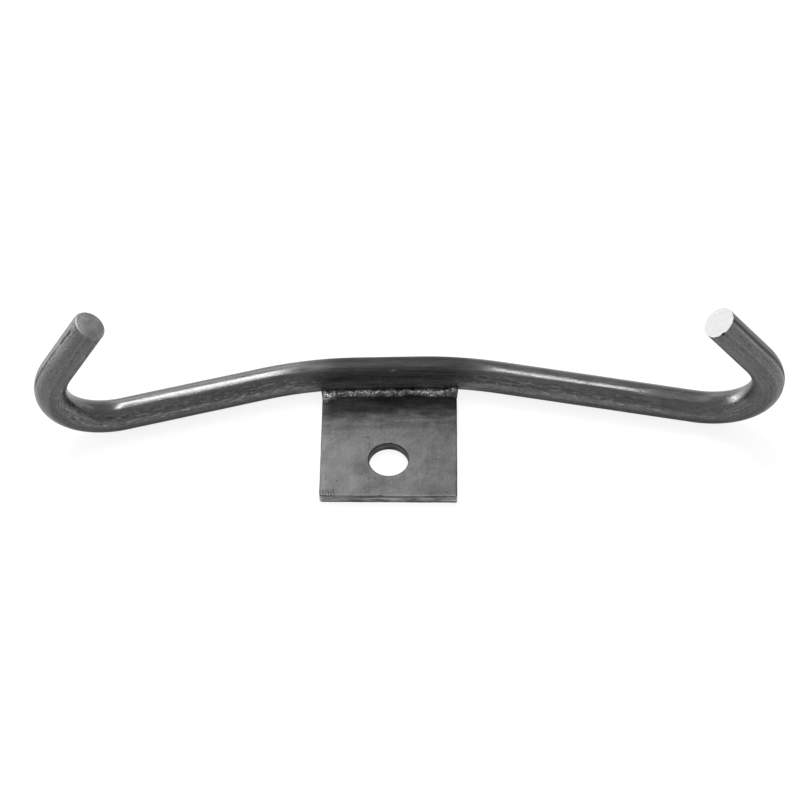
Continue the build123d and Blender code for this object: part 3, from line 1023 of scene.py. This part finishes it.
def weld_steel():
    """Weld metal: rippled grey with painted light on its crests, painted shade in its hollows and at
    its toes, and pale flecks that are partly painted glints.
    """
    n = Nodes(bpy.data.materials.new("weld_metal"))
    place = n.place()
    x = n.axes(place)[0]
    smooth = n.attribute("smooth")
    across = n.attribute("across")
    grain = n.noise(place, 1.8, 4.0, 0.7)
    # Pale flecks, partly speckled weld metal and partly painted glints of its facets.
    flecks_and_painted_glints = n.range(n.streaks(place, (0.7, 1.1, 1.1), 4.0, 0.7), 0.5, 0.66)
    flecks_and_painted_glints = n.product(flecks_and_painted_glints, n.times(smooth, 0.25))
    slag = n.range(n.noise(place, 0.5, 4.0, 0.65), 0.5, 0.62)
    # Painted light and shade: paler on the relief's crests, darker in its hollows.
    relief = n.range(n.attribute("relief"), -0.14, 0.14, 0.55, 1.25)
    edges = n.product(n.range(across, *TOE_SHADES), n.range(across, *TOP_SHADES))
    lobe = n.range(x, *LOBE_X, LOBE_PALE, 1.0)
    sunken = n.product(n.range(x, *SUNKEN_LEFT), n.range(x, *SUNKEN_RIGHT))
    tone = n.total((grain, 0.08), (flecks_and_painted_glints, 0.16), (smooth, 0.03), 0.055)
    tone = n.product(tone, relief, edges, n.times(slag, 0.6), lobe, n.times(sunken, 0.7))
    rough = n.total((grain, 0.24), (slag, -0.06), (smooth, 0.16), 0.22)
    height = n.product(n.total((grain, 0.55), (slag, 0.2)), n.times(smooth, 0.2))
    return n.metal(tone, rough, height, WELD_BUMP)


# -------- stage
CAMERA_PLACE = Vector((-2.39, -545.07, 755.89)) * MM
CAMERA_RIGHT = Vector((0.99983, -0.01796, -0.00436))
CAMERA_UP = Vector((0.01693, 0.79557, 0.60563))
CAMERA_LENS = 114.34
CAMERA_SENSOR = 36
CAMERA_CLIP = (0.01, 20)

FLOOR_HALF_SIZE = 6.0
FLOOR_LEVEL = -0.05 * MM  # so that it shares no plane with the part
PAPER_TO_CAMERA = 0.25  # greys of the paper as the camera and as the light see it
PAPER_TO_LIGHT = 0.9
PAPER_GLOW = 0.84
PAPER_ROUGHNESS = 0.9

LIGHT_AIM = Vector((0, 0.02, 0.02))
BRIGHT_SIDE = (-0.6, 0.75, 0.1)  # the way to the brighter surroundings
WORLD_SIDES = (-0.8, 0.8)  # from the far side to the bright one
WORLD_STRENGTHS = (0.45, 0.75)


def make_camera():
    """The photo's viewpoint."""
    camera = bpy.data.objects.new("camera", bpy.data.cameras.new("camera"))
    bpy.context.scene.collection.objects.link(camera)
    right = CAMERA_RIGHT.normalized()
    back = right.cross(CAMERA_UP).normalized()
    up = back.cross(right)
    turn = Matrix((right, up, back)).transposed().to_4x4()
    camera.matrix_world = Matrix.Translation(CAMERA_PLACE) @ turn
    camera.data.lens = CAMERA_LENS
    camera.data.sensor_width = CAMERA_SENSOR
    camera.data.clip_start, camera.data.clip_end = CAMERA_CLIP
    bpy.context.scene.camera = camera


def make_floor():
    """Plain pale paper, whose glow is seen by the camera alone and lights nothing."""
    signs = ((-1, -1), (1, -1), (1, 1), (-1, 1))
    corners = [(x * FLOOR_HALF_SIZE, y * FLOOR_HALF_SIZE, FLOOR_LEVEL) for x, y in signs]
    mesh = bpy.data.meshes.new("floor")
    mesh.from_pydata(corners, [], [(0, 1, 2, 3)])
    floor = bpy.data.objects.new("floor", mesh)
    bpy.context.scene.collection.objects.link(floor)
    n = Nodes(bpy.data.materials.new("floor_paper"))
    seen = n.add("ShaderNodeLightPath").outputs["Is Camera Ray"]
    paper = n.grey(n.blend(seen, PAPER_TO_LIGHT, PAPER_TO_CAMERA))
    glow = n.math("MULTIPLY", seen, PAPER_GLOW)
    n.set(Base_Color=paper, Roughness=PAPER_ROUGHNESS)
    n.set(Emission_Color=(1, 1, 1, 1), Emission_Strength=glow)
    mesh.materials.append(n.owner)
    floor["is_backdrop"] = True


def soft_box(name, place, size, radiance, roll=0.0):
    """A rectangular light aimed at the part; radiance is against a white floor's 1."""
    data = bpy.data.lights.new(name, "AREA")
    data.shape = "RECTANGLE"
    data.size, data.size_y = size
    data.energy = radiance * math.pi * size[0] * size[1]
    light = bpy.data.objects.new(name, data)
    light.location = place
    light.rotation_mode = "QUATERNION"
    facing = (LIGHT_AIM - Vector(place)).to_track_quat("-Z", "Y")
    light.rotation_quaternion = facing @ Quaternion((0, 0, 1), roll)
    bpy.context.scene.collection.objects.link(light)


def make_world():
    """Pale studio surroundings, a little dimmer towards the front."""
    world = bpy.data.worlds.new("studio")
    bpy.context.scene.world = world
    n = Nodes(world, "Background")
    place = n.add("ShaderNodeTexCoord").outputs["Generated"]
    sides = {0: place, 1: Vector(BRIGHT_SIDE).normalized()}
    side = n.add("ShaderNodeVectorMath", sides, operation="DOT_PRODUCT").outputs["Value"]
    n.set(Color=(1, 1, 1, 1), Strength=n.range(side, *WORLD_SIDES, *WORLD_STRENGTHS))


def make_lights():
    """Three soft boxes; places and sizes are in metres."""
    roll = math.radians(23)
    soft_box("overhead_box", (-0.075, 0.56, 1.0), (0.18, 0.82), radiance=11.0, roll=roll)
    soft_box("back_box", (-0.50, 2.2, 0.70), (1.0, 1.0), radiance=1.4)
    soft_box("left_box", (-1.1, 0.56, 0.14), (0.9, 0.30), radiance=4.0)


# -------- put together
make_camera()
make_floor()
make_lights()
make_world()
weld_metal = weld_steel()
pieces = (
    (build_bar(), bar_steel(), "hook_bar", "bar_steel"),
    (build_tab(), tab_steel(), "mounting_tab", "tab_steel"),
    (build_face_bead(), weld_metal, "face_weld_bead", "weld_metal"),
    (build_root_bead(), weld_metal, "root_weld_bead", "weld_metal"),
)
for piece, material, node, slot in pieces:
    piece.data.materials.append(material)
    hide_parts(node)
spatter = build_spatter()
spatter.data.materials.append(weld_metal)

bpy.context.scene.view_settings.view_transform = "Standard"

VISUAL_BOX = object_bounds()
[[list(corner) for corner in box] for box in (CAD_BOX, VISUAL_BOX)]
